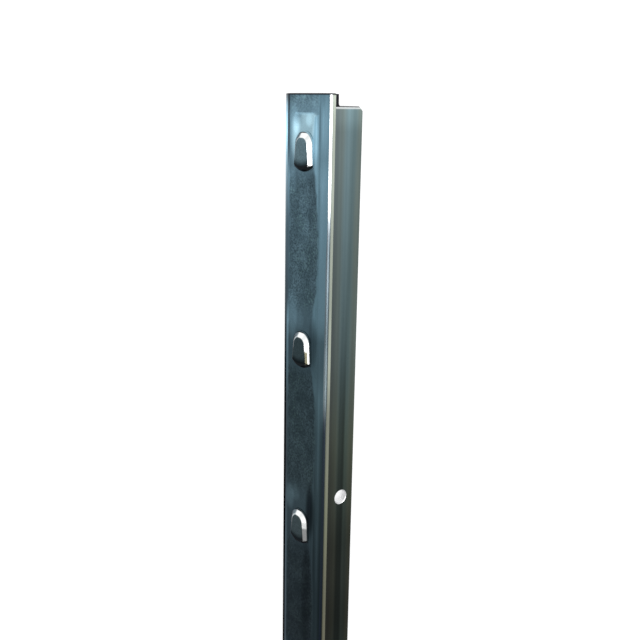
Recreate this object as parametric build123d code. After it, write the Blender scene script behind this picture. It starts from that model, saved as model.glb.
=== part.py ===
from build123d import *

import math
import os

# Studded steel T post, hot rolled in one piece. Millimetres, +Z up.
# It is drawn upright first: the section in XY with the studded front facing -Y and the
# web running back along +Y, and the top end at Z = 0 with the post hanging down from it.
# It can't stand by itself, so it is then laid down as it comes to rest, on one flange
# edge and the web's tip, with its top end towards +X.

# Length and section
post_length = 1500.0
flange_width = 35.0
section_depth = 35.0
flange_thickness = 4.0
web_thickness = 3.5
root_radius = 4.0
back_edge_radius = 1.0

# The flange is crowned: a flat band down the middle, and a side band each side that is
# bent back, with its front corner rolled rounder than the back one
flat_band_width = 22.0
side_band_slope = 17.0
band_radius = 9.0
front_edge_radius = 1.3

# Studs. The foot, shoulder and face sizes are widths across the post, and the lengths
# run along it, from the corners of the bowed foot up to the round crest
stud_pitch = 97.0
first_stud_foot = 34.0
plain_end = 60.0
stud_proud = 2.0
stud_length = 16.2
foot_width = 14.2
foot_bulge = 1.8
shoulder_width = 12.4
crest_radius = 5.7
face_length = 12.5
face_foot_width = 10.6
face_shoulder_width = 7.2
face_crest_radius = 3.3
face_setback = 1.0
face_edge_radius = 0.5
stud_embed = 0.6

# Top end of the web, cropped lower than the flange
crop_depth = 5.6
crop_reach = 15.7
crop_root_radius = 1.9
crop_shoulder_radius = 1.8
crop_corner_radius = 2.2

# Hole through the web
hole_diameter = 7.8
hole_from_top = 211.2
hole_from_tip = 8.6

# Places that follow from the sizes
half_width = flange_width / 2
half_band = flat_band_width / 2
half_web = web_thickness / 2
slope = math.radians(side_band_slope)
stud_room = post_length - first_stud_foot - plain_end
stud_count = int(stud_room // stud_pitch) + 1
crop_start = section_depth - crop_reach
hole_depth = section_depth - hole_from_tip

# Corners of the right side band before rounding, where the width is over the rounding
corner_x = half_width + front_edge_radius * (math.cos(slope) + math.sin(slope) - 1)
corner_y = (corner_x - half_band) * math.tan(slope)
back_corner_x = corner_x - flange_thickness * math.sin(slope)
back_corner_y = corner_y + flange_thickness * math.cos(slope)
back_band = half_band - flange_thickness * math.tan(slope / 2)


def section():
    """T section: crowned flange with its sides bent back, root fillets, rounded edges."""
    right_side = [
        ((half_band, 0), band_radius),
        ((corner_x, corner_y), front_edge_radius),
        ((back_corner_x, back_corner_y), back_edge_radius),
        ((back_band, flange_thickness), band_radius),
        ((half_web, flange_thickness), root_radius),
        ((half_web, section_depth), back_edge_radius),
    ]
    left_side = [((-x, y), radius) for (x, y), radius in reversed(right_side)]
    corners = right_side + left_side
    points = [point for point, radius in corners]
    radii = [radius for point, radius in corners]
    with BuildSketch(Plane.XY) as drawn:
        with BuildLine():
            FilletPolyline(*points, radius=radii, close=True)
        make_face()
    return drawn.sketch


def side_profile():
    """Side view of the post in YZ, with the web's top end cropped below the flange's."""
    front = -stud_proud
    corners = [
        ((front, 0), 0),
        ((crop_start, 0), crop_shoulder_radius),
        ((crop_start, -crop_depth), crop_root_radius),
        ((section_depth, -crop_depth), crop_corner_radius),
        ((section_depth, -post_length), 0),
        ((front, -post_length), 0),
    ]
    points = [point for point, radius in corners]
    radii = [radius for point, radius in corners]
    with BuildSketch(Plane.YZ) as drawn:
        with BuildLine():
            FilletPolyline(*points, radius=radii, close=True)
        make_face()
    return drawn.sketch


def arch(bottom_width, top_width, length, radius):
    """Outline of a stud: a foot bowed downwards, sides drawn in a little, a round crest."""
    low, high = bottom_width / 2, top_width / 2
    with BuildSketch() as drawn:
        with BuildLine():
            Polyline((low, 0), (high, length), (-high, length), (-low, 0))
            ThreePointArc((-low, 0), (0, -foot_bulge), (low, 0))
        make_face()
        fillet(drawn.vertices().sort_by(Axis.Y)[-2:], radius)
    return drawn.sketch


def stud():
    """One stud with its foot at the origin, standing on the front plane towards -Y."""
    outline = arch(foot_width, shoulder_width, stud_length, crest_radius)
    face = arch(face_foot_width, face_shoulder_width, face_length, face_crest_radius)
    base = Plane.XZ * outline
    raised = Plane.XZ.offset(stud_proud) * Pos(0, face_setback) * face
    body = loft([base.face(), raised.face()], ruled=True)
    body += extrude(base, amount=-stud_embed)
    return fillet(body.faces().sort_by(Axis.Y)[0].edges(), face_edge_radius)


def upright_post():
    """The whole post, upright, top end at Z = 0."""
    bar = extrude(section(), amount=-post_length)
    bar &= extrude(side_profile(), amount=flange_width, both=True)
    hole = Rot(0, 90, 0) * Cylinder(hole_diameter / 2, flange_width)
    bar -= Pos(0, hole_depth, -hole_from_top) * hole
    pattern = stud()
    feet = [-first_stud_foot - number * stud_pitch for number in range(stud_count)]
    return bar + [Pos(0, 0, foot) * pattern for foot in feet]


def laid_down(post):
    """Turns the post onto its left flange edge and web tip, centred over the floor."""
    to_centre = math.sqrt(2) * back_edge_radius
    edge_x = back_corner_x - to_centre * math.cos(math.pi / 4 + slope)
    edge_y = back_corner_y - to_centre * math.sin(math.pi / 4 + slope)
    tip_x = half_web - back_edge_radius
    tip_y = section_depth - back_edge_radius
    lean = math.atan2(edge_x - tip_x, tip_y - edge_y)
    across = (0, -math.sin(lean), math.cos(lean))
    resting = Plane(origin=(0, 0, 0), x_dir=across, z_dir=(1, 0, 0)).location * post
    box = resting.bounding_box()
    middle = box.center()
    return Pos(-middle.X, -middle.Y, -box.min.Z) * resting


os.makedirs("parts", exist_ok=True)
t_post = laid_down(upright_post())
export_step(t_post, "parts/t_post.step")
print("studs", stud_count)
print("box", t_post.bounding_box())
print("solids", len(t_post.solids()), "volume", round(t_post.volume))
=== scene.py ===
# %% [markdown]
# This lesson dresses a rolled steel fence post. The post is a T section 1.5 m long, with
# arched studs along its front that stop fence wire sliding. The CAD model gives its place
# and size. Here it gets the finer mesh, the shallow marks that the mill's rolls leave, and
# its zinc finish, so the file starts by loading that model as a fixed frame.

# %% Load the frame
import math

import bmesh
import bpy
from mathutils import Matrix, Vector, noise


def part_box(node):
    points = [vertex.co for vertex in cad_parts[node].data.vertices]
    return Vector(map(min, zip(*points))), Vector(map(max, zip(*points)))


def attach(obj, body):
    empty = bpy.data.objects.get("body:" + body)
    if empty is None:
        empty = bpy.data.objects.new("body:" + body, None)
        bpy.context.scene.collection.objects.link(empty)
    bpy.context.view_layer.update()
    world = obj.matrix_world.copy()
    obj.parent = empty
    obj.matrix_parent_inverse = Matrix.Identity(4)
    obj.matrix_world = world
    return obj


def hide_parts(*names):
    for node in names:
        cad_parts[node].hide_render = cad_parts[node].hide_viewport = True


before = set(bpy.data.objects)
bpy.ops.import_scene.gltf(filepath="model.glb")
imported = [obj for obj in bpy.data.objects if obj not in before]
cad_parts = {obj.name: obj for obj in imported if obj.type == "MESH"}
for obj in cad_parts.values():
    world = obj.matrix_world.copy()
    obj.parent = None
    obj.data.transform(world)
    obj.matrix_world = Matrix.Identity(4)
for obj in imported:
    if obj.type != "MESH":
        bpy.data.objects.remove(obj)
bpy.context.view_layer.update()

low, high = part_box("t_post")
print("post from the CAD, mm:", [round(1000 * side, 1) for side in high - low])

# %% [markdown]
# A rolled bar has one section all along, so its sizes are those of the section and of what
# repeats along it. The lesson works in millimetres, with the post upright: x runs across
# the front, y runs back from the flat front, and z is 0 at the top end. These are the
# driving sizes of the real bar, as in the CAD.

# %% Sizes of the post
post_length = 1500.0
flange_width = 35.0
section_depth = 35.0
flange_thickness = 4.0
web_thickness = 3.5
flat_band_width = 22.0
side_band_slope = math.radians(17.0)
band_radius = 9.0
front_edge_radius = 1.3
back_edge_radius = 1.0
root_radius = 4.0
stud_pitch = 97.0
first_stud_foot = 34.0
stud_count = 15

half_width = flange_width / 2
half_band = flat_band_width / 2
half_web = web_thickness / 2
corner_x = half_width + front_edge_radius * (math.cos(side_band_slope) + math.sin(side_band_slope) - 1)
corner_y = (corner_x - half_band) * math.tan(side_band_slope)
back_corner_x = corner_x - flange_thickness * math.sin(side_band_slope)
back_corner_y = corner_y + flange_thickness * math.cos(side_band_slope)
back_band = half_band - flange_thickness * math.tan(side_band_slope / 2)
print("stud feet from", first_stud_foot, "to", first_stud_foot + (stud_count - 1) * stud_pitch)

# %% [markdown]
# Every rolled corner is round. An outline could be drawn arc by arc, but a bevel on the
# corner vertices of one flat face is shorter and keeps each radius as one number. A vertex
# bevel asks how far it starts from the corner, which is the radius times the tangent of
# half the turn.

# %% Rounded outline helper
def rounded_face(bm, corners, segments):
    """One flat face through (x, y, radius) corners, with each corner rounded."""
    verts = [bm.verts.new((x, y, 0)) for x, y, radius in corners]
    bm.faces.new(verts)
    places = [Vector((x, y)) for x, y, radius in corners]
    for number, vert in enumerate(verts):
        radius = corners[number][2]
        if radius > 0:
            arriving = places[number] - places[number - 1]
            leaving = places[(number + 1) % len(places)] - places[number]
            reach = radius * math.tan(arriving.angle(leaving) / 2)
            bmesh.ops.bevel(
                bm,
                geom=[vert],
                offset=reach,
                offset_type="OFFSET",
                segments=segments,
                profile=0.5,
                affect="VERTICES",
                material=-1,
            )


# %% [markdown]
# The section is a T whose flange is crowned: a flat band in the middle and a band each side
# that bends back. The list goes down the right side, from the front knee to the web's tip,
# and the left side is the same list turned round.

# %% Draw the section
corner_segments = 5
right_side = [
    (half_band, 0, band_radius),
    (corner_x, corner_y, front_edge_radius),
    (back_corner_x, back_corner_y, back_edge_radius),
    (back_band, flange_thickness, band_radius),
    (half_web, flange_thickness, root_radius),
    (half_web, section_depth, back_edge_radius),
]
left_side = [(-x, y, radius) for x, y, radius in reversed(right_side)]
bar_mesh = bmesh.new()
rounded_face(bar_mesh, right_side + left_side, corner_segments)
print("section outline has", len(bar_mesh.verts), "points")

# %% [markdown]
# The rolls leave a shallow sunk patch between every two studs, so the front needs points
# about a millimetre apart across it. Long edges of the outline are cut up before the
# section is drawn out: closely along the front, and loosely along the web.

# %% Give the outline more points
front_step = 0.9
side_step = 1.6
web_step = 6.0
flat_within = 0.01


def step_for(edge):
    """How far apart the points of this outline edge should be."""
    middle = (edge.verts[0].co + edge.verts[1].co) / 2
    if abs(middle.y) < flat_within:
        return front_step
    if middle.y < corner_y and abs(middle.x) > half_band:
        return side_step
    return web_step


for edge in list(bar_mesh.edges):
    cuts = int(edge.calc_length() / step_for(edge))
    if cuts > 0:
        bmesh.ops.subdivide_edges(bar_mesh, edges=[edge], cuts=cuts)
print("after cutting it has", len(bar_mesh.verts), "points")

# %% [markdown]
# The section is drawn out one row at a time. Even rows would need thousands, so the rows
# lie close together where the front changes fast, round each stud, and far apart between
# the studs. The places repeat with each stud, and a few more make room for the mark at the
# top end.

# %% Places of the rows
row_places = [-36, -32, -29, -26, -23, -20, -17, -14, -11, -8, -5, -2.5, -1, 0, 1, 2.5, 4.5, 7]
row_places += [10, 13, 17, 21, 26, 31, 36, 42, 48, 54]
end_mark = 8.5
mark_rows = [end_mark + step for step in (-4, -2.5, -1.4, -0.8, -0.3, 0.2, 0.7, 1.4, 2.4)]
rows = mark_rows + [
    first_stud_foot + number * stud_pitch + place
    for number in range(-1, stud_count + 1)
    for place in row_places
    if first_stud_foot + number * stud_pitch + place > mark_rows[-1]
]
end_margin = 1.0
rows = [row for row in rows if row < post_length - end_margin] + [post_length]
print(len(rows), "rows along the post")

# %% [markdown]
# Each row is an extrude of the last ring of edges, which is then moved on. An array of
# slices would leave doubled points to merge, and this leaves none. The sawn ends get a fine
# bevel, because no real end is knife sharp, and a bevel catches a thin line of light.

# %% Draw the section out
end_bevel = 0.35


def draw_out(bm, ring, shift):
    """Extrudes a ring of edges and moves the new ring. Returns the new ring."""
    grown = bmesh.ops.extrude_edge_only(bm, edges=ring)["geom"]
    new_verts = [part for part in grown if isinstance(part, bmesh.types.BMVert)]
    bmesh.ops.translate(bm, verts=new_verts, vec=shift)
    inside = set(new_verts)
    edges = [part for part in grown if isinstance(part, bmesh.types.BMEdge)]
    return [edge for edge in edges if inside.issuperset(edge.verts)]


bmesh.ops.delete(bar_mesh, geom=list(bar_mesh.faces), context="FACES_ONLY")
top_ring = list(bar_mesh.edges)
ring = top_ring
reached = 0.0
for row in rows:
    ring = draw_out(bar_mesh, ring, Vector((0, 0, reached - row)))
    reached = row
for end_ring in (top_ring, ring):
    bmesh.ops.contextual_create(bar_mesh, geom=end_ring)
bmesh.ops.bevel(
    bar_mesh,
    geom=top_ring + ring,
    offset=end_bevel,
    offset_type="OFFSET",
    segments=2,
    profile=0.5,
    affect="EDGES",
    material=-1,
)
print("bar has", len(bar_mesh.faces), "faces")

# %% [markdown]
# The roll presses the middle of the front a little harder than the side bands. The pressed
# strip is widest half way between two studs and draws in at each of them, where metal has
# flowed up into the stud. One short list gives half its width, against the distance below
# the nearest stud's foot, and both the mesh here and the finish further down read it.

# %% Outline of the pressed strip
strip_half_widths = [
    (-48.5, 11.6),
    (-38.0, 10.8),
    (-31.0, 9.4),
    (-22.0, 7.7),
    (-12.0, 6.9),
    (-3.5, 7.0),
    (4.5, 8.6),
    (12.5, 10.2),
    (21.0, 11.0),
    (35.0, 11.6),
    (48.5, 11.6),
]


def from_foot(z):
    """Distance below the nearest stud's foot, from minus to plus half a pitch."""
    return (-z - first_stud_foot + stud_pitch / 2) % stud_pitch - stud_pitch / 2


def strip_half_width(below):
    """Half width of the pressed strip, read from the list."""
    for (start, wide), (end, wide_after) in zip(strip_half_widths, strip_half_widths[1:]):
        if below <= end:
            return wide + (wide_after - wide) * (below - start) / (end - start)
    return strip_half_widths[-1][1]


def smooth_step(value):
    """Goes gently from 0 to 1 while the value goes from 0 to 1."""
    value = min(max(value, 0.0), 1.0)
    return value * value * (3 - 2 * value)


# %% [markdown]
# Only the right border of the strip draws in at the studs. The left one runs straight, so
# the roll sat a little to that side. Over each crest the metal that rose into the stud
# leaves a shallow hollow, and the top end has a short pressed line across the strip. Each
# mark is a smooth step, and their depths add up.

# %% Press the strip in
straight_left = 11.6
strip_depth = 0.24
strip_border = 2.6
border_wander = 0.7
wander_length = 16.0
front_limit = 1.2
mark_depth = 0.16
mark_step = 0.6
mark_half_width = 7.5
mark_fade = 2.5
hollow_depth = 0.30
hollow_half_width = 5.5
hollow_half_length = 6.0
over_crest = -24.0
for vert in bar_mesh.verts:
    x, y, z = vert.co
    if y < front_limit:
        wander = border_wander * noise.noise(Vector((x, 0, z)) / wander_length)
        half_strip = straight_left if x < 0 else strip_half_width(from_foot(z))
        inside = half_strip + wander - abs(x)
        sunk = strip_depth * smooth_step(inside / strip_border + 0.5)
        away = Vector((x / hollow_half_width, (from_foot(z) - over_crest) / hollow_half_length)).length
        sunk += hollow_depth * smooth_step(1 - away)
        above_mark = smooth_step((z + end_mark) / mark_step)
        between = smooth_step((mark_half_width - abs(x)) / mark_fade)
        sunk += mark_depth * above_mark * between
        vert.co.y += sunk
bmesh.ops.recalc_face_normals(bar_mesh, faces=bar_mesh.faces)
print("front pressed in by up to", strip_depth + hollow_depth, "mm")

# %% [markdown]
# A stud is a small hump with a bowed foot and a round crest. It is drawn as a stack of
# arch outlines, from one that is buried in the bar to one on top of the face, and
# bridge_loops skins each pair. The outlines near the flange spread a little, which makes
# the soft root that rolled steel has there. The crest is set back further than the foot,
# so a wire that lies on the foot can't ride up.

# %% Sizes of a stud
foot_bulge = 1.8
foot_corner_radius = 0.9
foot_outline = {"foot": 14.2, "shoulder": 12.4, "length": 16.2, "crest": 5.7, "setback": 0.0}
face_outline = {"foot": 10.6, "shoulder": 7.2, "length": 12.5, "crest": 3.3, "setback": 1.0}
# Each step of the stack: how far it has gone from the foot outline to the face outline,
# and how proud of the flange it stands, in millimetres
stud_stack = [
    (-0.30, -0.70),
    (-0.30, -0.04),
    (-0.14, 0.05),
    (0.02, 0.20),
    (0.16, 0.45),
    (0.72, 1.46),
    (0.84, 1.68),
    (0.95, 1.83),
    (1.08, 1.94),
    (1.24, 1.99),
    (1.60, 2.00),
]
print("a stud stands", stud_stack[-1][1], "mm proud, in", len(stud_stack), "outlines")

# %% [markdown]
# One outline of the stack is a trapezium with rounded corners. Its straight foot is cut
# into short edges, which are then bowed down along a parabola. The outline is drawn flat
# and turned to stand against the front of the post.

# %% One outline of a stud
arch_segments = 10
foot_cuts = 15
foot_within = 0.001


def arch_ring(bm, share, proud):
    """One arch outline of the stack, as a ring of edges standing off the front plane."""
    size = {key: foot_outline[key] + share * (face_outline[key] - foot_outline[key]) for key in foot_outline}
    bottom = size["setback"]
    top = bottom + size["length"]
    corners = [
        (-size["foot"] / 2, bottom, foot_corner_radius),
        (size["foot"] / 2, bottom, foot_corner_radius),
        (size["shoulder"] / 2, top, size["crest"]),
        (-size["shoulder"] / 2, top, size["crest"]),
    ]
    layer = bmesh.new()
    rounded_face(layer, corners, arch_segments)
    foot_edge = min(layer.edges, key=lambda edge: edge.verts[0].co.y + edge.verts[1].co.y)
    reach = abs(foot_edge.verts[0].co.x)
    bmesh.ops.subdivide_edges(layer, edges=[foot_edge], cuts=foot_cuts)
    for vert in layer.verts:
        if vert.co.y < bottom + foot_within:
            vert.co.y -= foot_bulge * (1 - (vert.co.x / reach) ** 2)
    stand = Matrix.Rotation(math.pi / 2, 4, "X")
    bmesh.ops.transform(layer, matrix=Matrix.Translation((0, -proud, 0)) @ stand, verts=layer.verts)
    copy = {vert: bm.verts.new(vert.co) for vert in layer.verts}
    edges = [bm.edges.new([copy[vert] for vert in edge.verts]) for edge in layer.edges]
    layer.free()
    return edges


# %% Build one stud
def skin(bm, rings):
    """Bridges each ring to the next, and closes both ends."""
    for lower, upper in zip(rings, rings[1:]):
        bmesh.ops.bridge_loops(bm, edges=lower + upper)
    for end in (rings[0], rings[-1]):
        bmesh.ops.contextual_create(bm, geom=end)
    bmesh.ops.recalc_face_normals(bm, faces=bm.faces)


stud_mesh = bmesh.new()
skin(stud_mesh, [arch_ring(stud_mesh, share, proud) for share, proud in stud_stack])
print("one stud has", len(stud_mesh.faces), "faces")

# %% [markdown]
# The grooves in the roll are all cut alike, so all the studs are alike. One is copied down
# the post by the pitch, and they stay in one mesh.

# %% Repeat the stud down the post
one_stud = stud_mesh.verts[:] + stud_mesh.edges[:] + stud_mesh.faces[:]
for number in range(1, stud_count):
    made = bmesh.ops.duplicate(stud_mesh, geom=one_stud)["geom"]
    made_verts = [part for part in made if isinstance(part, bmesh.types.BMVert)]
    bmesh.ops.translate(stud_mesh, verts=made_verts, vec=(0, 0, -number * stud_pitch))
bmesh.ops.translate(stud_mesh, verts=stud_mesh.verts, vec=(0, 0, -first_stud_foot))
print("studs made:", stud_count)

# %% [markdown]
# The web's top end is sheared off lower than the flange, and a hole is punched through the
# web. Both are cuts, so each gets a cutter. A shear rolls the edge over on the side where
# it enters, so the cutter drops a little where it leaves the web on the right, and it drops
# more past the web's tip, whose corner the shear has bent down.

# %% Cutter for the web's top end
crop_depth = 5.6
crop_start = 19.3
crop_root_radius = 1.9
crop_roll = 0.7
crop_segments = 6
tip_bend = 2.2
tip_radius = 1.2
past_tip = 0.2
tip_drop = 2.6
beyond = 30.0
crop_corners = [
    (crop_start, beyond, 0),
    (crop_start, -crop_depth, crop_root_radius),
    (section_depth - tip_bend, -crop_depth, tip_radius),
    (section_depth + past_tip, -crop_depth - tip_drop, 0),
    (section_depth + beyond, -crop_depth - tip_drop, 0),
    (section_depth + beyond, beyond, 0),
]
# Each step across the web, from left to right: how far it goes, and how far it drops
roll_steps = [
    (beyond + half_web - crop_roll, 0),
    (0.6 * crop_roll, 0.25 * crop_roll),
    (0.5 * crop_roll, 0.75 * crop_roll),
    (beyond, 0),
]
cutter_mesh = bmesh.new()
rounded_face(cutter_mesh, crop_corners, crop_segments)
upright = Matrix(((0, 0, 1, -beyond), (1, 0, 0, 0), (0, 1, 0, 0), (0, 0, 0, 1)))
bmesh.ops.transform(cutter_mesh, matrix=upright, verts=cutter_mesh.verts)
ring = list(cutter_mesh.edges)
for step, drop in roll_steps:
    ring = draw_out(cutter_mesh, ring, Vector((step, 0, -drop)))
bmesh.ops.contextual_create(cutter_mesh, geom=ring)
print("crop cutter has", len(cutter_mesh.faces), "faces")

# %% [markdown]
# A punch rolls the edge over all round, so the hole's cutter is a stack of circles that
# widens at the web's two faces.

# %% Cutter for the hole
hole_radius = 3.9
hole_from_top = 211.2
hole_depth = 26.4
hole_roll = 0.15
hole_segments = 64
hole_stations = [
    (-beyond, hole_radius + hole_roll),
    (-half_web, hole_radius + hole_roll),
    (-half_web + hole_roll, hole_radius),
    (half_web - hole_roll, hole_radius),
    (half_web, hole_radius + hole_roll),
    (beyond, hole_radius + hole_roll),
]
across_web = Matrix.Rotation(math.pi / 2, 4, "Y")
hole_rings = []
for station, radius in hole_stations:
    place = Matrix.Translation((station, hole_depth, -hole_from_top)) @ across_web
    made = bmesh.ops.create_circle(cutter_mesh, segments=hole_segments, radius=radius, matrix=place)["verts"]
    hole_rings.append(list({edge for vert in made for edge in vert.link_edges}))
skin(cutter_mesh, hole_rings)
print("both cutters have", len(cutter_mesh.faces), "faces")

# %% [markdown]
# Now the pieces become one. A boolean modifier joins the studs to the bar, and a second one
# takes the cuts out. The studs carry a second material index through them, so that the line
# where a stud meets the flange can be found again.

# %% Helpers for objects
def object_from(bm, name):
    """Turns a bmesh into an object in the scene."""
    mesh = bpy.data.meshes.new(name)
    bm.to_mesh(mesh)
    bm.free()
    obj = bpy.data.objects.new(name, mesh)
    bpy.context.scene.collection.objects.link(obj)
    return obj


def apply_modifiers(obj):
    """Replaces the object's mesh by what its modifiers make of it."""
    evaluated = obj.evaluated_get(bpy.context.evaluated_depsgraph_get())
    made = bpy.data.meshes.new_from_object(evaluated)
    obj.modifiers.clear()
    obj.data = made


# %% Join the studs and cut the web
stud_mark = 1
for face in stud_mesh.faces:
    face.material_index = stud_mark
post = object_from(bar_mesh, "rolled_post")
studs = object_from(stud_mesh, "studs")
cutters = object_from(cutter_mesh, "cutters")
for tool, operation in ((studs, "UNION"), (cutters, "DIFFERENCE")):
    boolean = post.modifiers.new(operation.lower(), "BOOLEAN")
    boolean.operation = operation
    boolean.solver = "EXACT"
    boolean.object = tool
for holder in (post, studs, cutters):
    for name in ("bar", "stud"):
        holder.data.materials.append(bpy.data.materials.new(name))
apply_modifiers(post)
for tool in (studs, cutters):
    bpy.data.objects.remove(tool)
print("joined post has", len(post.data.polygons), "faces")

# %% [markdown]
# Smooth shading rounds everything, so the edges that are crisp on the real post are marked
# sharp: the ones that turn far, and the line where a stud meets the flange. Doubled points
# from the boolean are merged first, and no edge may stay open.

# %% Find the edges that stay sharp
sharp_angle = math.radians(32)
merge_within = 0.002
shortest_edge = 0.001
finished = bmesh.new()
finished.from_mesh(post.data)
bmesh.ops.remove_doubles(finished, verts=finished.verts, dist=merge_within)
bmesh.ops.dissolve_degenerate(finished, edges=finished.edges, dist=shortest_edge)
open_edges = sum(not edge.is_manifold for edge in finished.edges)
for edge in finished.edges:
    faces = edge.link_faces
    edge.smooth = len(faces) == 2 and edge.calc_face_angle() < sharp_angle
    if len({face.material_index for face in faces}) > 1:
        edge.smooth = False
for face in finished.faces:
    face.smooth = True
    face.material_index = 0
finished.to_mesh(post.data)
finished.free()
print("open edges:", open_edges)

# %% [markdown]
# The upright post is laid down as it comes to rest, on its left flange edge and the web's
# tip. The lean follows from the centres of those two round edges, and the CAD box gives
# the place. The move goes into the mesh, so the object itself stays at the origin.

# %% Lay the post down
millimetre = 0.001
to_centre = math.sqrt(2) * back_edge_radius
edge_x = back_corner_x - to_centre * math.cos(math.pi / 4 + side_band_slope)
edge_y = back_corner_y - to_centre * math.sin(math.pi / 4 + side_band_slope)
lean = math.atan2(edge_x - (half_web - back_edge_radius), section_depth - back_edge_radius - edge_y)
across = Vector((0, -math.sin(lean), math.cos(lean)))
back = Vector((0, -math.cos(lean), -math.sin(lean)))
along = Vector((1, 0, 0))
turn = Matrix((across, back, along)).transposed().to_4x4()
post.data.transform(turn)
corners = [Vector(corner) for corner in post.bound_box]
middle_y = (min(c.y for c in corners) + max(c.y for c in corners)) / 2
lowest = min(c.z for c in corners)
seat = Vector((1000 * high.x, -middle_y, 1000 * low.z - lowest))
to_row = Matrix.Scale(millimetre, 4) @ Matrix.Translation(seat)
post.data.transform(to_row)
to_row = to_row @ turn
print("leans", round(math.degrees(lean), 2), "degrees, moved by", [round(v, 3) for v in seat])

# %% [markdown]
# A Weighted Normal modifier lets the large flat faces set the shading, which keeps them
# flat beside the round corners. Then the post is told which body it rides on, and the CAD
# part that it stands for is hidden.

# %% Shade it smooth with flat faces kept flat
weighted = post.modifiers.new("weighted", "WEIGHTED_NORMAL")
weighted.keep_sharp = True
weighted.weight = 50
apply_modifiers(post)
print("triangles:", sum(len(p.vertices) - 2 for p in post.data.polygons))
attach(post, "root")
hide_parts("t_post")

# %% [markdown]
# The finish is one material over the whole post, because the real one is one coat on one
# bar. What differs is where: the rolled patches are dull and mottled, the side bands are
# smooth, and the edges and stud walls are rubbed bright. That takes many small nodes, so
# each kind that comes again and again gets a function that adds one and returns its output.

# %% Helpers for number nodes
zinc = bpy.data.materials.new("zinc_coated_steel")
zinc.use_nodes = True
tree = zinc.node_tree
shader = tree.nodes["Principled BSDF"]


def plug(value, socket):
    """Links a socket to an input, or sets the input's own value."""
    if isinstance(value, bpy.types.NodeSocket):
        tree.links.new(value, socket)
    else:
        socket.default_value = value


def calc(operation, first, second=0.0):
    """A Math node's output."""
    node = tree.nodes.new("ShaderNodeMath")
    node.operation = operation
    plug(first, node.inputs[0])
    plug(second, node.inputs[1])
    return node.outputs[0]


def ease(value, start, end, low_value=0.0, high_value=1.0):
    """A Map Range node's output, smooth from start to end."""
    node = tree.nodes.new("ShaderNodeMapRange")
    node.interpolation_type = "SMOOTHSTEP"
    plug(value, node.inputs["Value"])
    plug(start, node.inputs["From Min"])
    plug(end, node.inputs["From Max"])
    plug(low_value, node.inputs["To Min"])
    plug(high_value, node.inputs["To Max"])
    return node.outputs["Result"]


# %% Helpers for colour nodes
def opaque(colour):
    """The colour with full alpha, as a Mix node's input wants it."""
    return (*colour, 1)


def blend_colour(factor, first, second, mode="MIX"):
    """A colour Mix node's output."""
    node = tree.nodes.new("ShaderNodeMix")
    node.data_type = "RGBA"
    node.blend_type = mode
    plug(factor, node.inputs["Factor"])
    plug(first, node.inputs[6])
    plug(second, node.inputs[7])
    return node.outputs[2]


def times(colour, factor):
    """The colour multiplied by a grey or another colour."""
    return blend_colour(1.0, colour, factor, mode="MULTIPLY")


def ramp(value, start, end, points, smooth=False):
    """A colour ramp. Its points are (value, colour) or (value, grey), from start to end."""
    node = tree.nodes.new("ShaderNodeValToRGB")
    stops = node.color_ramp.elements
    while len(stops) < len(points):
        stops.new(0.5)
    for stop, (place, shade) in zip(stops, points):
        stop.position = (place - start) / (end - start)
        stop.color = opaque(shade) if isinstance(shade, tuple) else (shade, shade, shade, 1)
    if smooth:
        node.color_ramp.interpolation = "EASE"
    share = calc("DIVIDE", calc("SUBTRACT", value, start), end - start)
    plug(share, node.inputs["Fac"])
    return node.outputs["Color"]


# %% [markdown]
# A Mapping node turns Object coordinates back into the upright millimetres of the sizes
# above, so that masks can be written with the same numbers. Its Texture type undoes a
# scale, a turn and a move, which is what laying the post down did to it. Generated
# coordinates would be shorter, but they stretch with the object's box.

# %% Upright millimetres from Object coordinates
coordinates = tree.nodes.new("ShaderNodeTexCoord")
to_upright = tree.nodes.new("ShaderNodeMapping")
to_upright.vector_type = "TEXTURE"
to_upright.inputs["Location"].default_value = to_row.translation
to_upright.inputs["Rotation"].default_value = turn.to_euler("XYZ")
to_upright.inputs["Scale"].default_value = (millimetre, millimetre, millimetre)
plug(coordinates.outputs["Object"], to_upright.inputs["Vector"])
upright_mm = to_upright.outputs["Vector"]
split = tree.nodes.new("ShaderNodeSeparateXYZ")
plug(upright_mm, split.inputs["Vector"])
x_mm, y_mm, z_mm = split.outputs
half_x = calc("ABSOLUTE", x_mm)
from_top = calc("MULTIPLY", z_mm, -1.0)
past_half = calc("SUBTRACT", from_top, first_stud_foot - stud_pitch / 2)
below = calc("SUBTRACT", calc("FLOORED_MODULO", past_half, stud_pitch), stud_pitch / 2)
print("distance from the nearest foot repeats every", stud_pitch, "mm")


# %% [markdown]
# A mask is a number from 0 to 1 that says where something shows. It could be painted on
# the mesh by hand, but one that is written in millimetres can be read, measured against the
# real bar and moved. Where two masks both have to hold, they are multiplied.

# %% Helpers for masks
def speckle(scale, detail, stretch=(1, 1, 1), roughness=0.5):
    """Noise on the upright millimetres, stretched along each axis. Returns its value."""
    mapping = tree.nodes.new("ShaderNodeMapping")
    mapping.inputs["Scale"].default_value = stretch
    plug(upright_mm, mapping.inputs["Vector"])
    node = tree.nodes.new("ShaderNodeTexNoise")
    node.inputs["Scale"].default_value = scale
    node.inputs["Detail"].default_value = detail
    node.inputs["Roughness"].default_value = roughness
    plug(mapping.outputs["Vector"], node.inputs["Vector"])
    return node.outputs["Fac"]


def sway(value, amount):
    """Noise moved to lie evenly round 0, and scaled."""
    return calc("MULTIPLY", calc("SUBTRACT", value, 0.5), amount)


def both(*masks):
    """The product of masks."""
    product = masks[0]
    for mask in masks[1:]:
        product = calc("MULTIPLY", product, mask)
    return product


def within(value, start, full, fading, end):
    """A mask that rises from start to full, and falls from fading to end."""
    return both(ease(value, start, full), ease(value, end, fading))


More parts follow.
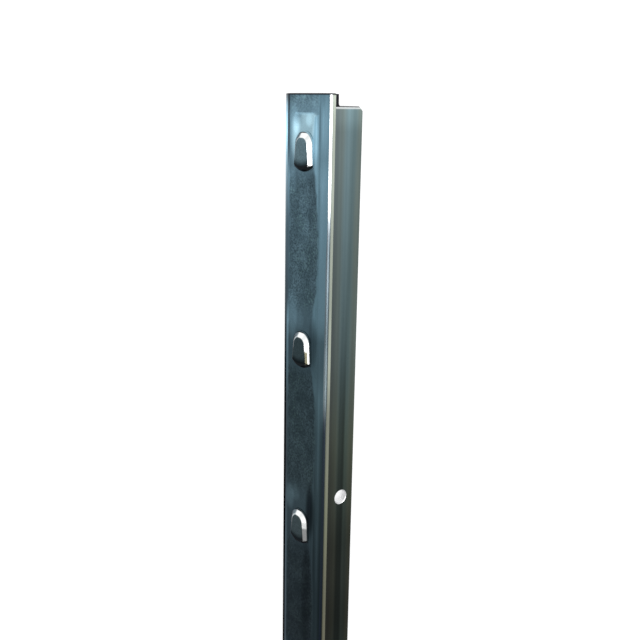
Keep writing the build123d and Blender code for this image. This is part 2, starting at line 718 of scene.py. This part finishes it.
def change(mask, strength):
    """A factor that is 1 off the mask, and 1 plus the strength on it."""
    return calc("ADD", 1.0, calc("MULTIPLY", mask, strength))


def down_post(points, top=None):
    """A ramp down the post. A ramp ends at 1, so a tone over 1 is given as shares of a top."""
    shade = ramp(from_top, 0, post_length, points)
    return shade if top is None else calc("MULTIPLY", shade, top)


# %% [markdown]
# The strip's mask reads the list that pressed the mesh, so its border lies on the pressed
# step, and a slow noise lets it wander. At the top end the strip is wide. Close round a
# stud it is rubbed smooth, so the rough part has a mask of its own.

# %% Mask of the pressed strip
widest = 12.0
top_half_width = 11.0
top_widening = (14.0, 9.0)
middle_of_front = (1.0, -1.0)
border_scale = 0.16
border_sway = 2.4
border_fade = (-1.0, 1.2)
front_ends = (2.1, 1.3)
rubbed_places = (-36.0, -22.0, -1.0, 8.0)
rubbed_share = 0.85
width_points = [(place, wide / widest) for place, wide in strip_half_widths]
half_wide = calc("MULTIPLY", ramp(below, -stud_pitch / 2, stud_pitch / 2, width_points), widest)
half_wide = calc("MAXIMUM", half_wide, ease(from_top, *top_widening, 0.0, top_half_width))
half_wide = calc("MAXIMUM", half_wide, ease(x_mm, *middle_of_front, 0.0, straight_left))
border = calc("ADD", half_wide, sway(speckle(border_scale, 2), border_sway))
inside_strip = calc("SUBTRACT", border, half_x)
on_front = ease(y_mm, *front_ends)
strip = both(ease(inside_strip, *border_fade), on_front)
near_stud = within(below, *rubbed_places)
rough_strip = both(strip, change(near_stud, -rubbed_share))
print("strip mask reads", len(width_points), "widths")

# %% [markdown]
# The flange's edge and its round front corner are narrow, and light catches each in its own
# way, so each has a mask. Both are told by how far they lie out and back. Down the post the
# border between them moves to the front, and the corner's light line grows wider.

# %% Masks of the web and the edges
web_begins = (5.5, 8.0)
edge_out = (16.0, 16.7)
edge_back = (5.7, 5.2)
border_moves = (140.0, 162.0)
border_places = (2.7, 2.25)
corner_widens = (60.0, 78.0)
corner_places = (16.5, 15.9)
soft_width = 0.5
on_web = ease(y_mm, *web_begins)
edge_start = ease(from_top, *border_moves, *border_places)
edge_full = calc("ADD", edge_start, soft_width)
on_edge = both(ease(half_x, *edge_out), ease(y_mm, edge_start, edge_full), ease(y_mm, *edge_back))
corner_start = ease(from_top, *corner_widens, *corner_places)
corner_full = calc("ADD", corner_start, soft_width)
on_corner = both(ease(half_x, corner_start, corner_full), ease(y_mm, edge_full, edge_start))
print("edge border at", border_places, "mm back")

# %% [markdown]
# A stud has a dull face, with painted shade towards its foot, a wall round it that gets a
# painted highlight, and a painted shadow at its foot. The face is what stands nearly as proud
# as a stud can, and the wall is what lies between it and the flat front. The foot's mask
# follows a parabola, as the mesh's foot does.

# %% Masks of a stud
wall_rises = (-0.12, -0.40)
left_lip = (-1.0, -3.0)
face_begins = (-1.62, -1.82)
face_is_full = (-1.86, -1.97)
just_proud = (-0.02, -0.10)
foot_reach_squared = 50.0
foot_shadow = (-2.9, -2.2)
shadow_ends = (5.6, 4.6)
foot_edge_line = (-1.9, -1.3)
face_start = ease(x_mm, *left_lip, *face_begins)
face_full = ease(x_mm, *left_lip, *face_is_full)
on_face = ease(y_mm, face_start, face_full)
on_wall = both(ease(y_mm, *wall_rises), change(on_face, -1.0))
bow = calc("MULTIPLY", foot_bulge / foot_reach_squared, calc("POWER", half_x, 2.0))
from_foot_line = calc("SUBTRACT", below, calc("SUBTRACT", foot_bulge, bow))
off_flange = ease(y_mm, *just_proud)
# Masks of the painted shadow at a stud's foot.
foot_wall = both(off_flange, ease(from_foot_line, *foot_shadow), ease(x_mm, *shadow_ends))
foot_rim = both(off_flange, ease(from_foot_line, *foot_edge_line))
on_foot = calc("MAXIMUM", foot_wall, foot_rim)
print("foot mask bows by", foot_bulge, "mm")

# %% [markdown]
# The hole's wall, bare steel painted near white as a painted highlight, and the cut ends have
# colours of their own. Their masks go by the distance from the hole's middle and from the top
# end, and each fades a little way past its cut.

# %% Masks of the hole and the cut ends
hole_y = calc("ABSOLUTE", calc("SUBTRACT", y_mm, hole_depth))
hole_z = calc("ABSOLUTE", calc("ADD", z_mm, hole_from_top))
from_hole = calc("SQRT", calc("ADD", calc("POWER", hole_y, 2.0), calc("POWER", hole_z, 2.0)))
in_hole = ease(from_hole, hole_radius + 0.30, hole_radius + 0.10)
at_top = ease(from_top, 1.1, 0.4)
at_lower_end = ease(from_top, post_length - 0.55, post_length - 0.15)
on_cut_web = both(on_web, ease(from_top, crop_depth + 0.60, crop_depth + 0.30))
# The web's rolled-over top edge gets a painted highlight.
rolled_web_highlight = both(on_web, ease(from_top, crop_depth + 1.6, crop_depth + 0.9))
cut_ends = calc("MAXIMUM", calc("MAXIMUM", at_top, at_lower_end), on_cut_web)
print("hole's mask is round", (hole_depth, hole_from_top))

# %% [markdown]
# The colours get painted shade down the post. It is pale at the top end, darker down to
# about 285 mm and a little lighter again further down, and its blue turns a little warmer
# where it is dark. A ramp over the distance from the top multiplies the colours with it,
# and the coat's own tone comes and goes at random in long soft clouds on top.

# %% Painted shade along the post
shade_down_post_points = [
    (0, (1.0, 1.0, 1.0)),
    (10, (1.0, 1.0, 1.0)),
    (20, (0.83, 0.83, 0.83)),
    (49, (0.63, 0.63, 0.63)),
    (98, (0.50, 0.50, 0.49)),
    (149, (0.38, 0.37, 0.35)),
    (192, (0.30, 0.28, 0.26)),
    (238, (0.18, 0.16, 0.15)),
    (285, (0.15, 0.13, 0.12)),
    (380, (0.28, 0.27, 0.26)),
    (520, (0.46, 0.45, 0.44)),
    (700, (0.52, 0.52, 0.51)),
    (950, (0.44, 0.43, 0.42)),
    (1200, (0.52, 0.51, 0.50)),
    (1500, (0.46, 0.45, 0.44)),
]
cloud_scale = 0.012
cloud_range = (0.88, 1.12)
# Painted shade down the post; the cloud below is the coat's own random tone.
tone = down_post(shade_down_post_points)
cloud = ease(speckle(cloud_scale, 2), 0.3, 0.7, *cloud_range)
print("tone along the post has", len(shade_down_post_points), "points")

# %% [markdown]
# Zinc that was dipped hot sets in fine grains, which read as mottling. The grains are a fine
# noise between two blues, a slower noise makes the mottling stronger and weaker in patches,
# and a few flecks are greener. The strip also gets painted light and shade along the post.

# %% Colours of the pressed strip
strip_low = (0.032, 0.056, 0.070)
strip_high = (0.104, 0.172, 0.212)
smooth_strip = (0.066, 0.114, 0.144)
fleck_colour = (0.125, 0.220, 0.226)
fleck_share = 0.5
grain_range = (0.38, 0.64)
# Painted light and shade along the strip, darkest round the second stud.
strip_shade_points = [(0, 0.83), (12, 0.81), (35, 0.72), (73, 0.73), (98, 0.90), (108, 0.78), (122, 0.50)]
strip_shade_points += [(140, 0.50), (165, 0.66), (185, 0.74), (204, 1.0), (232, 0.90), (300, 0.84), (1500, 0.62)]
mottle = ease(speckle(1.1, 8, roughness=0.78), *grain_range)
patchy = ease(speckle(0.11, 3), 0.36, 0.62, 0.45, 1.0)
fleck = both(ease(speckle(0.85, 2), 0.52, 0.68), ease(speckle(0.07, 1), 0.42, 0.60))
mottled = blend_colour(both(mottle, patchy), opaque(strip_low), opaque(strip_high))
mottled = blend_colour(calc("MULTIPLY", fleck, fleck_share), mottled, opaque(fleck_colour))
strip_colour = blend_colour(calc("MULTIPLY", near_stud, rubbed_share), mottled, opaque(smooth_strip))
strip_colour = times(strip_colour, down_post(strip_shade_points, top=2.0))
print("strip tone has", len(strip_shade_points), "points")

# %% [markdown]
# Round the first stud the strip gets a painted highlight. At the top end the roll has left a
# short crisp line, and the painted highlight starts below it, later on the left than on the
# right, with a wedge of painted shade between and a brighter painted line just under it.

# %% Painted highlight round the first stud
# Colour of the painted highlight round the first stud.
painted_highlight = (0.300, 0.460, 0.530)
highlight_share = 0.80
left_to_right = (-7.0, -1.5)
full_on_left = 17.0
full_on_right = end_mark + 2.0
highlight_begins = end_mark - 0.2
highlight_fades = (37.0, 23.0)
highlight_width = (11.6, 6.8)
zone_full = ease(x_mm, *left_to_right, full_on_left, full_on_right)
zone_start = ease(from_top, highlight_begins, zone_full)
highlight_zone = both(zone_start, ease(from_top, *highlight_fades), ease(half_x, *highlight_width))
# A wedge of painted shade inside the painted highlight.
wedge_width = (-8.0, -4.8, -3.4, -0.4)
wedge_length = (8.4, 9.6, 12.0, 16.0)
wedge_strength = -0.45
shade_wedge = both(within(x_mm, *wedge_width), within(from_top, *wedge_length))
highlight_zone = both(highlight_zone, change(shade_wedge, wedge_strength))
strip_colour = blend_colour(calc("MULTIPLY", highlight_zone, highlight_share), strip_colour, opaque(painted_highlight))
# A painted highlight just under the pressed line at the top end.
line_length = (8.0, 6.0)
line_strength = 0.5
highlight_below_line = within(from_top, end_mark, end_mark + 0.3, end_mark + 0.7, end_mark + 1.8)
highlight_below_line = both(highlight_below_line, ease(half_x, *line_length))
strip_colour = times(strip_colour, change(highlight_below_line, line_strength))
print("polished from", highlight_begins, "to", highlight_fades[0], "mm from the top end")

# %% [markdown]
# The side bands slid along the rolls, so they are smoother and paler than the strip, and
# streaked along the post. The streaks are noise stretched along z, and a dark and a light
# line run side by side for part of the way. The right band gets painted light and shade
# along the post, and painted shade on its outer part below the second stud.

# %% Colours of the right band
band_low = (0.160, 0.290, 0.365)
band_high = (0.240, 0.415, 0.520)
streak_stretch = (1, 0.3, 0.012)
# Painted light and shade along the right band.
right_band_shade_points = [(0, 0.62), (8, 0.80), (20, 0.86), (30, 0.74), (38, 1.0), (60, 0.90), (86, 0.88), (108, 0.96)]
right_band_shade_points += [(117, 0.53), (132, 0.52), (145, 0.72), (165, 0.58), (300, 0.64), (1500, 0.90)]
streak = ease(speckle(0.38, 3, stretch=streak_stretch), 0.34, 0.66)
band = blend_colour(streak, opaque(band_low), opaque(band_high))
band = times(band, down_post(right_band_shade_points))
# Painted shade on the outer part of the right band.
outer_right_shade = both(ease(x_mm, 14.2, 15.6), ease(from_top, 152.0, 166.0))
line_share = ease(speckle(0.03, 1), 0.42, 0.56)
dark_line = both(within(x_mm, 11.0, 11.5, 11.9, 12.5), line_share)
light_line = both(within(x_mm, 12.9, 13.4, 13.8, 14.4), line_share)
for mask, strength in ((outer_right_shade, -0.32), (dark_line, -0.28), (light_line, 0.22)):
    band = times(band, change(mask, strength))
print("tone of the right band has", len(right_band_shade_points), "points")

# %% [markdown]
# The left band faces the ground as the post lies, so it gets painted shade, but for a painted
# highlight on its outer edge near the top end. Its inner and outer parts have a ramp of
# painted light and shade each.

# %% Colours of the left band
left_inner_shade_points = [(0, 0.05), (10, 0.06), (26, 0.09), (33, 0.30), (49, 0.25), (61, 0.14), (86, 0.14)]
left_inner_shade_points += [(98, 0.09), (108, 0.30), (115, 0.60), (139, 0.36), (150, 0.20), (190, 0.18), (204, 0.38)]
left_inner_shade_points += [(232, 0.76), (300, 0.70), (1500, 0.24)]
left_outer_light_points = [(0, 0.10), (4, 0.42), (10, 0.70), (18, 0.95), (26, 0.74), (36, 0.34), (49, 0.24)]
left_outer_light_points += [(61, 0.20), (98, 0.11), (123, 0.09), (140, 0.06), (240, 0.045), (300, 0.045), (1500, 0.10)]
left_band_begins = (-10.4, -12.2)
outer_begins = (-13.6, -14.6)
unchanged = opaque((1, 1, 1))
on_outer_left = ease(x_mm, *outer_begins)
# Painted shade on the left band, with a painted highlight on its outer edge near the top.
left_band_painted_light = blend_colour(on_outer_left, down_post(left_inner_shade_points, top=3.4), down_post(left_outer_light_points, top=3.4))
band = times(band, blend_colour(ease(x_mm, *left_band_begins), unchanged, left_band_painted_light))
print("tones of the left band have", len(left_inner_shade_points), "and", len(left_outer_light_points), "points")


# %% [markdown]
# Soft brighter and darker patches, most of them round the studs, are painted highlights and
# painted shade. Each is an oval spot with its place across the front, its distance from the
# top end, its half width, its half length and its strength.

# %% Painted light and shade on the front
def spot(across_at, down_at, half_patch, long_patch):
    """A soft elliptical mask on the front, 1 in its middle."""
    aside = calc("ABSOLUTE", calc("DIVIDE", calc("SUBTRACT", x_mm, across_at), half_patch))
    along_it = calc("ABSOLUTE", calc("DIVIDE", calc("SUBTRACT", from_top, down_at), long_patch))
    return ease(calc("ADD", calc("POWER", aside, 2.0), calc("POWER", along_it, 2.0)), 1.0, 0.0)


# Painted highlights (strength above 0) and painted shade (strength below 0).
light_and_shade_spots = [
    (-8.0, 17.0, 5.0, 14.0, 0.55),
    (-6.0, 14.0, 4.0, 6.0, 0.30),
    (8.4, 21.0, 3.2, 14.0, 0.60),
    (3.5, 12.0, 3.5, 4.0, 0.40),
    (-12.0, 0.0, 7.0, 5.0, -0.35),
    (8.0, 5.0, 4.0, 8.0, 0.22),
    (9.0, 28.0, 3.6, 7.0, 0.16),
    (7.0, 41.0, 4.5, 7.0, -0.32),
    (-9.0, 41.0, 4.0, 8.0, 0.50),
    (0.0, 62.0, 6.0, 20.0, 0.25),
    (-8.4, 106.0, 5.0, 17.0, 0.64),
    (-3.0, 109.0, 5.0, 6.0, 0.25),
    (8.5, 119.0, 4.0, 17.0, -0.45),
    (-9.0, 207.0, 4.6, 9.0, 0.75),
    (-4.0, 203.0, 4.0, 6.0, 0.40),
    (8.4, 209.0, 4.6, 19.0, -0.75),
    (6.0, 256.0, 5.5, 44.0, -0.42),
]
front = blend_colour(strip, band, strip_colour)
for across_at, down_at, half_patch, long_patch, strength in light_and_shade_spots:
    front = times(front, change(spot(across_at, down_at, half_patch, long_patch), strength))
print("patches on the front:", len(light_and_shade_spots))

# %% [markdown]
# The web keeps the stripes that it got in the rolls, so its colour is a soft ramp over the
# depth, which a slow noise bends a little. Down the post one stripe turns darker, and the
# whole gets painted light and shade along the post and turns warmer for a while.

# %% Colours of the web
web_points = [
    (8, (0.128, 0.146, 0.135)),
    (14, (0.150, 0.170, 0.165)),
    (18.7, (0.142, 0.174, 0.178)),
    (22, (0.166, 0.210, 0.205)),
    (25.7, (0.192, 0.280, 0.303)),
    (29.5, (0.146, 0.215, 0.226)),
    (33.2, (0.184, 0.230, 0.214)),
]
stripe_sway = 4.0
# Painted light and shade along the web.
web_shade_points = [(0, 0.65), (9, 0.62), (13, 0.57), (17, 0.50), (90, 0.51), (120, 0.60), (190, 0.62)]
web_shade_points += [(215, 0.73), (240, 0.66), (400, 0.60), (1500, 0.55)]
warm_web = (1, 0.97, 0.84)
warm_web_places = (130.0, 185.0, 300.0, 450.0)
web_place = calc("ADD", y_mm, sway(speckle(0.01, 1), stripe_sway))
web = ramp(web_place, 0, section_depth, web_points, smooth=True)
web = times(web, ease(speckle(0.5, 3, stretch=(1, 1, 0.02)), 0.3, 0.7, 0.92, 1.08))
darker_stripe = both(within(y_mm, 22.6, 24.8, 27.2, 29.0), ease(from_top, 60.0, 170.0))
web = times(web, change(darker_stripe, -0.56))
web = times(web, down_post(web_shade_points, top=2.0))
web = times(web, blend_colour(within(from_top, *warm_web_places), unchanged, opaque(warm_web)))
print("web has", len(web_points), "stripes")

# %% [markdown]
# The flange's edge is pale and a little green, partly the colour of its rubbed metal and
# partly painted light on the lit edge face. It gets one colour, painted light and shade along
# the post and a warmer tint further down.

# %% Colour of the flange's edge
edge_colour = (0.57, 0.625, 0.535)
# Painted light and shade along the flange's edge.
edge_shade_points = [(0, 0.62), (12, 0.45), (28, 0.50), (45, 0.62), (98, 0.66), (112, 0.86), (130, 0.92)]
edge_shade_points += [(155, 0.55), (181, 0.72), (232, 1.0), (300, 1.0), (400, 0.80), (1500, 0.80)]
warm_edge = (0.96, 1, 0.87)
warm_edge_places = (150.0, 220.0, 300.0, 450.0)
edge = times(opaque(edge_colour), down_post(edge_shade_points, top=1.8))
edge = times(edge, blend_colour(within(from_top, *warm_edge_places), unchanged, opaque(warm_edge)))
print("tone of the edge has", len(edge_shade_points), "points")

# %% [markdown]
# The studs' walls get a painted highlight on the right, and the left lip gets painted shade
# but for a thin rim of painted highlight. The second stud's wall is darker and browner in one
# place, and the walls of all the studs below it get painted shade near the foot. A fine line
# of painted shade follows the crease where the crest meets the flange.

# %% Colours of the studs
face_colour = (0.092, 0.144, 0.166)
painted_shadow_colour = (0.010, 0.012, 0.013)
highlight_white = (0.86, 0.87, 0.86)
dark_brown = (0.125, 0.118, 0.078)
lip_shade_colour = (0.16, 0.20, 0.22)
rim_highlight_colour = (0.50, 0.55, 0.56)
# Painted shade on the studs' faces, darker towards the foot and varying down the post.
face_shade_points = [(0, 0.58), (50, 0.58), (115, 0.30), (140, 0.32), (205, 1.0), (300, 1.0), (1500, 0.50)]
face_painted_shade = both(ease(from_foot_line, -6.2, -2.2, 1.0, 0.14), down_post(face_shade_points, top=2.0))
face = times(opaque(face_colour), face_painted_shade)
face = times(face, ease(mottle, 0.0, 1.0, 0.80, 1.18))
# Painted highlight on the right of the wall, painted shade on the left lip.
wall = blend_colour(ease(x_mm, -0.8, -2.4), opaque(highlight_white), opaque(lip_shade_colour))
on_rim = both(ease(y_mm, -1.35, -1.60), ease(x_mm, -0.5, -2.0), ease(below, -3.0, -5.0))
wall = blend_colour(on_rim, wall, opaque(rim_highlight_colour))
# Painted shade on the lower part of the walls, from the third stud down.
lower_walls_shade = both(ease(from_top, 150.0, 180.0), ease(below, -8.6, -7.4))
wall = times(wall, change(lower_walls_shade, -0.62))
# The second stud's wall is darker and browner in one place.
by_second = within(from_top, 105.0, 115.0, 140.0, 150.0)
second_stud_darker = both(by_second, ease(below, -9.0, -6.5), ease(y_mm, -0.65, -0.95))
wall = blend_colour(second_stud_darker, wall, opaque(dark_brown))
# Painted shade in the crease where the crest meets the flange.
crest_height = within(y_mm, -0.34, -0.22, -0.12, -0.05)
crest_line = both(crest_height, ease(below, -14.0, -15.2), within(x_mm, -4.6, -3.0, 0.5, 3.0))
print("studs have", len(face_shade_points), "points of tone on their faces")

# %% [markdown]
# The round front corner on the right carries a painted highlight, the brightest line of the
# post. It is nearly white over the top 50 mm and dull blue below, with a gap of painted shade
# between it and the edge, and its painted shade is nearly black from the second stud to well
# below the third.

# %% Painted light of the round corner
corner_light_points = [
    (0, (0.84, 0.86, 0.86)),
    (50, (0.84, 0.86, 0.86)),
    (55, (0.34, 0.37, 0.39)),
    (61, (0.125, 0.145, 0.160)),
    (72, (0.100, 0.126, 0.142)),
    (86, (0.130, 0.166, 0.188)),
    (115, (0.092, 0.120, 0.134)),
    (125, (0.150, 0.190, 0.210)),
    (145, (0.180, 0.225, 0.240)),
    (160, (0.026, 0.036, 0.048)),
    (300, (0.014, 0.020, 0.030)),
    (500, (0.12, 0.14, 0.15)),
    (1500, (0.22, 0.24, 0.25)),
]
gap_places = (2.25, 2.5, 2.7, 3.2)
gap_begins = (58.0, 76.0)
gap_strength = -0.55
corner_shade_gap = both(within(y_mm, *gap_places), ease(from_top, *gap_begins))
# The round corner's painted highlight and painted shade.
corner = times(down_post(corner_light_points), change(corner_shade_gap, gap_strength))
print("corner has", len(corner_light_points), "points of tone")

# %% [markdown]
# The colours go on in layers, as a painter would lay them: front, web, edge and the studs'
# faces first, then the slow painted shade down the post over all of these, and last what
# that painted shade leaves alone.

# %% Put the colours together
cut_colour = (0.018, 0.018, 0.022)
# Painted highlight on the hole's wall.
hole_highlight_colour = (0.95, 0.95, 0.95)
rolled_highlight_share = 0.7
right_half = (0.0, 1.0)
colour = blend_colour(on_web, front, web)
colour = blend_colour(on_edge, colour, edge)
colour = blend_colour(on_face, colour, face)
colour = times(colour, times(tone, cloud))
colour = blend_colour(both(on_corner, ease(x_mm, *right_half)), colour, corner)
colour = blend_colour(on_wall, colour, wall)
# Painted shadow at the studs' feet and painted shade in the crease round each crest.
colour = blend_colour(calc("MAXIMUM", on_foot, crest_line), colour, opaque(painted_shadow_colour))
# Painted highlight on the web's rolled-over top edge.
colour = blend_colour(calc("MULTIPLY", rolled_web_highlight, rolled_highlight_share), colour, opaque(highlight_white))
colour = blend_colour(cut_ends, colour, opaque(cut_colour))
colour = blend_colour(in_hole, colour, opaque(hole_highlight_colour))
plug(colour, shader.inputs["Base Color"])
print("colour nodes so far:", len(tree.nodes))

# %% [markdown]
# Bare metal turns white where it is seen at a flat angle. A coat of dark zinc salts on it
# doesn't, so the specular tint, which is a metal's colour at such angles, is a plain grey.
# The outer left edge gets a painted highlight near the top end, so its tint starts white
# and darkens down the post.

# %% Specular tint
shader.inputs["Metallic"].default_value = 1.0
flat_tint = (0.52, 0.52, 0.54)
# Painted highlight on the outer left edge's tint near the top end.
left_edge_highlight_points = [(0, 1.0), (30, 1.0), (64, 0.52), (120, 0.45), (190, 0.12), (300, 0.12), (1500, 0.4)]
tint = blend_colour(on_outer_left, opaque(flat_tint), down_post(left_edge_highlight_points))
plug(tint, shader.inputs["Specular Tint"])
print("tint at flat angles:", flat_tint)

# %% [markdown]
# The strip is rougher than the bands, and the web lies between them. A slow noise keeps the
# gloss from being even. The grain itself is a few hundredths of a millimetre high, too fine
# for the mesh, so it is the one thing that is left to a bump.

# %% Gloss and grain
gloss_range = (0.25, 0.46)
web_dulling = 0.10
gloss_sway = 0.10
grain_height = 0.00006
grain_strength = 0.5
streak_share = 0.4
gloss = ease(rough_strip, 0.0, 1.0, *gloss_range)
gloss = calc("ADD", gloss, calc("MULTIPLY", calc("MAXIMUM", on_web, on_corner), web_dulling))
gloss = calc("ADD", gloss, sway(speckle(0.6, 4), gloss_sway))
plug(gloss, shader.inputs["Roughness"])
grain = tree.nodes.new("ShaderNodeBump")
grain.inputs["Distance"].default_value = grain_height
grain.inputs["Strength"].default_value = grain_strength
fine_relief = calc("ADD", both(speckle(1.6, 5), rough_strip), calc("MULTIPLY", streak, streak_share))
plug(both(fine_relief, on_front), grain.inputs["Height"])
plug(grain.outputs["Normal"], shader.inputs["Normal"])
post.data.materials.clear()
post.data.materials.append(zinc)
print("finish has", len(tree.nodes), "nodes")

# %% [markdown]
# The floor is plain and pale, and wide enough to fill every view. Most of what the camera
# and the metal see of it is an even white, and the rest is real light, which keeps a soft
# shadow under the post. The node helpers work on what is called tree, so they serve here.

# %% Floor
floor_size = 6.0
floor_colour = (0.80, 0.805, 0.81)
white_share = 0.72
floor_mesh = bmesh.new()
bmesh.ops.create_grid(floor_mesh, x_segments=1, y_segments=1, size=floor_size)
floor = object_from(floor_mesh, "floor")
floor_paint = bpy.data.materials.new("floor_paint")
floor_paint.use_nodes = True
tree = floor_paint.node_tree
floor_shader = tree.nodes["Principled BSDF"]
floor_shader.inputs["Base Color"].default_value = opaque(floor_colour)
floor_shader.inputs["Roughness"].default_value = 0.9
floor_shader.inputs["Specular IOR Level"].default_value = 0.1
even_white = tree.nodes.new("ShaderNodeEmission")
even_white.inputs["Strength"].default_value = 1.0
light_path = tree.nodes.new("ShaderNodeLightPath")
seen = light_path.outputs["Is Camera Ray"]
for kind in ("Is Glossy Ray", "Is Transmission Ray"):
    seen = calc("MAXIMUM", seen, light_path.outputs[kind])
floor_mix = tree.nodes.new("ShaderNodeMixShader")
plug(calc("MULTIPLY", seen, white_share), floor_mix.inputs["Fac"])
plug(floor_shader.outputs["BSDF"], floor_mix.inputs[1])
plug(even_white.outputs["Emission"], floor_mix.inputs[2])
plug(floor_mix.outputs["Shader"], tree.nodes["Material Output"].inputs["Surface"])
floor.data.materials.append(floor_paint)
print("floor is", 2 * floor_size, "m wide")

# %% [markdown]
# Metal shows what stands round it, so the world is a plain pale room. It is brighter at the
# post's top end than at the other, which grades the metal. Near the horizon it is as pale
# as the floor, so that no line shows where the floor ends.

# %% World
room_grading = (-0.75, 0.05)
room_range = (0.40, 1.10)
horizon_ends = (0.17, 0.32)
horizon_strength = 0.93
room_colour = (0.97, 0.99, 1.0)
world = bpy.data.worlds.new("studio")
bpy.context.scene.world = world
world.use_nodes = True
tree = world.node_tree
way = tree.nodes.new("ShaderNodeTexCoord")
way_parts = tree.nodes.new("ShaderNodeSeparateXYZ")
plug(way.outputs["Generated"], way_parts.inputs["Vector"])
graded = ease(way_parts.outputs["X"], *room_grading, *room_range)
above_floor = ease(way_parts.outputs["Z"], *horizon_ends, horizon_strength, graded)
plug(above_floor, tree.nodes["Background"].inputs["Strength"])
plug(opaque(room_colour), tree.nodes["Background"].inputs["Color"])
print("room goes from", room_range[0], "to", room_range[1])

# %% [markdown]
# One lamp is enough, if it is large and soft. It hangs level over the top end of the post,
# so its light falls away down the post. Its power is worked out from how bright its face
# should be, so that it can be resized without changing the light's level.

# %% Lamp
lamp_place = (0.84, 0.05, 0.60)
lamp_width = 0.70
lamp_length = 1.0
lamp_radiance = 4.0
overhead = bpy.data.lights.new("overhead", "AREA")
overhead.shape = "RECTANGLE"
overhead.size = lamp_width
overhead.size_y = lamp_length
overhead.energy = lamp_radiance * math.pi * lamp_width * lamp_length
lamp = bpy.data.objects.new("overhead", overhead)
bpy.context.scene.collection.objects.link(lamp)
lamp.location = lamp_place
lamp.visible_camera = False
print("lamp has", round(overhead.energy, 2), "W")

# %% [markdown]
# The camera stands where the photograph's did, which was worked out from the post's edges,
# studs and hole. Its place and its turns are kept in the upright frame and carried over
# with the post, so it looks down on the post as it lies.

# %% Camera
camera_place = Vector((319.595, -242.386, -4.922))
view_turn = math.radians(51.534)
view_drop = math.radians(14.461)
view_roll = math.radians(1.001)
focal_pixels = 836.4
frame_pixels = 640
level_right = Vector((math.cos(view_turn), math.sin(view_turn), 0))
level_ahead = Vector((-math.sin(view_turn), math.cos(view_turn), 0))
plumb = Vector((0, 0, 1))
ahead = level_ahead * math.cos(view_drop) - plumb * math.sin(view_drop)
head_up = plumb * math.cos(view_drop) + level_ahead * math.sin(view_drop)
right = level_right * math.cos(view_roll) + head_up * math.sin(view_roll)
upward = head_up * math.cos(view_roll) - level_right * math.sin(view_roll)
camera = bpy.data.objects.new("camera", bpy.data.cameras.new("camera"))
bpy.context.scene.collection.objects.link(camera)
camera.data.sensor_width = 36.0
camera.data.lens = focal_pixels * camera.data.sensor_width / frame_pixels
camera.data.clip_start = 0.01
pose = (turn.to_3x3() @ Matrix((right, upward, -ahead)).transposed()).to_4x4()
pose.translation = to_row @ camera_place
camera.matrix_world = pose
bpy.context.scene.camera = camera
bpy.context.scene.view_settings.view_transform = "Standard"
print("camera at", [round(v, 3) for v in pose.translation], "lens", round(camera.data.lens, 2))
